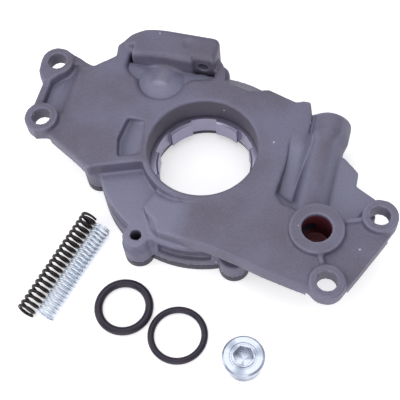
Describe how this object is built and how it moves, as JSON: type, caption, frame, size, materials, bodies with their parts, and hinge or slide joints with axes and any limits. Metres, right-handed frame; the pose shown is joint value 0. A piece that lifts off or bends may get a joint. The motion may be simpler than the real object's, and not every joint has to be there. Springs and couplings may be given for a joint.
{
  "type": "engine oil pump",
  "caption": "Crank-driven gerotor engine oil pump in a cast housing with relief valve, and its loose spare plug, springs and pick-up seal rings.",
  "frame": {"origin": "on the crankshaft axis at the outer face of the cover", "axes": "+Z along the crankshaft axis towards the engine block, +Y towards the oil pan, along the inlet bore and the relief valve"},
  "size_m": [0.182, 0.155, 0.0345],
  "materials": {
    "cast_aluminium": "matte, as cast",
    "cover_iron": "ground",
    "screw_steel": "dull plated",
    "dowel_steel": "ground",
    "rotor_steel": "sintered, oiled",
    "piston_steel": "ground",
    "dark_spring_wire": "black oxide",
    "zinc_plate": "bright zinc",
    "washer_aluminium": "soft sheet",
    "bright_spring_wire": "bright zinc",
    "ring_rubber": "smooth"
  },
  "bodies": {
    "pump": {"housing": "cast_aluminium", "cover": "cover_iron", "cover_screws": "screw_steel", "cover_dowels": "dowel_steel", "relief_plug": "zinc_plate", "plug_washer": "washer_aluminium", "relief_spring": "dark_spring_wire", "spare_plug": "zinc_plate", "dark_spring": "dark_spring_wire", "bright_spring": "bright_spring_wire", "thick_ring": "ring_rubber", "thin_ring": "ring_rubber"},
    "inner_rotor": {"inner_rotor": "rotor_steel"},
    "outer_rotor": {"outer_rotor": "rotor_steel"},
    "relief_piston": {"relief_piston": "piston_steel"}
  },
  "joints": [
    {"name": "outer_spin", "type": "hinge", "parent": "pump", "child": "outer_rotor", "pos_m": [-0.0014, -0.00242, 0.009], "axis": [0, 0, 1], "continuous": true},
    {"name": "inner_spin", "type": "hinge", "parent": "pump", "child": "inner_rotor", "pos_m": [0, 0, 0.009], "axis": [0, 0, 1], "continuous": true},
    {"name": "relief_slide", "type": "slide", "parent": "pump", "child": "relief_piston", "axis": [0, 1, 0], "range_m": [0, 0.009], "stiffness_N_per_m": 4200, "springref_m": -0.0157, "deforming": ["relief_spring"]}
  ],
  "couplings": [
    {"joint": "inner_spin", "follows": "outer_spin", "ratio": 1.1}
  ]
}
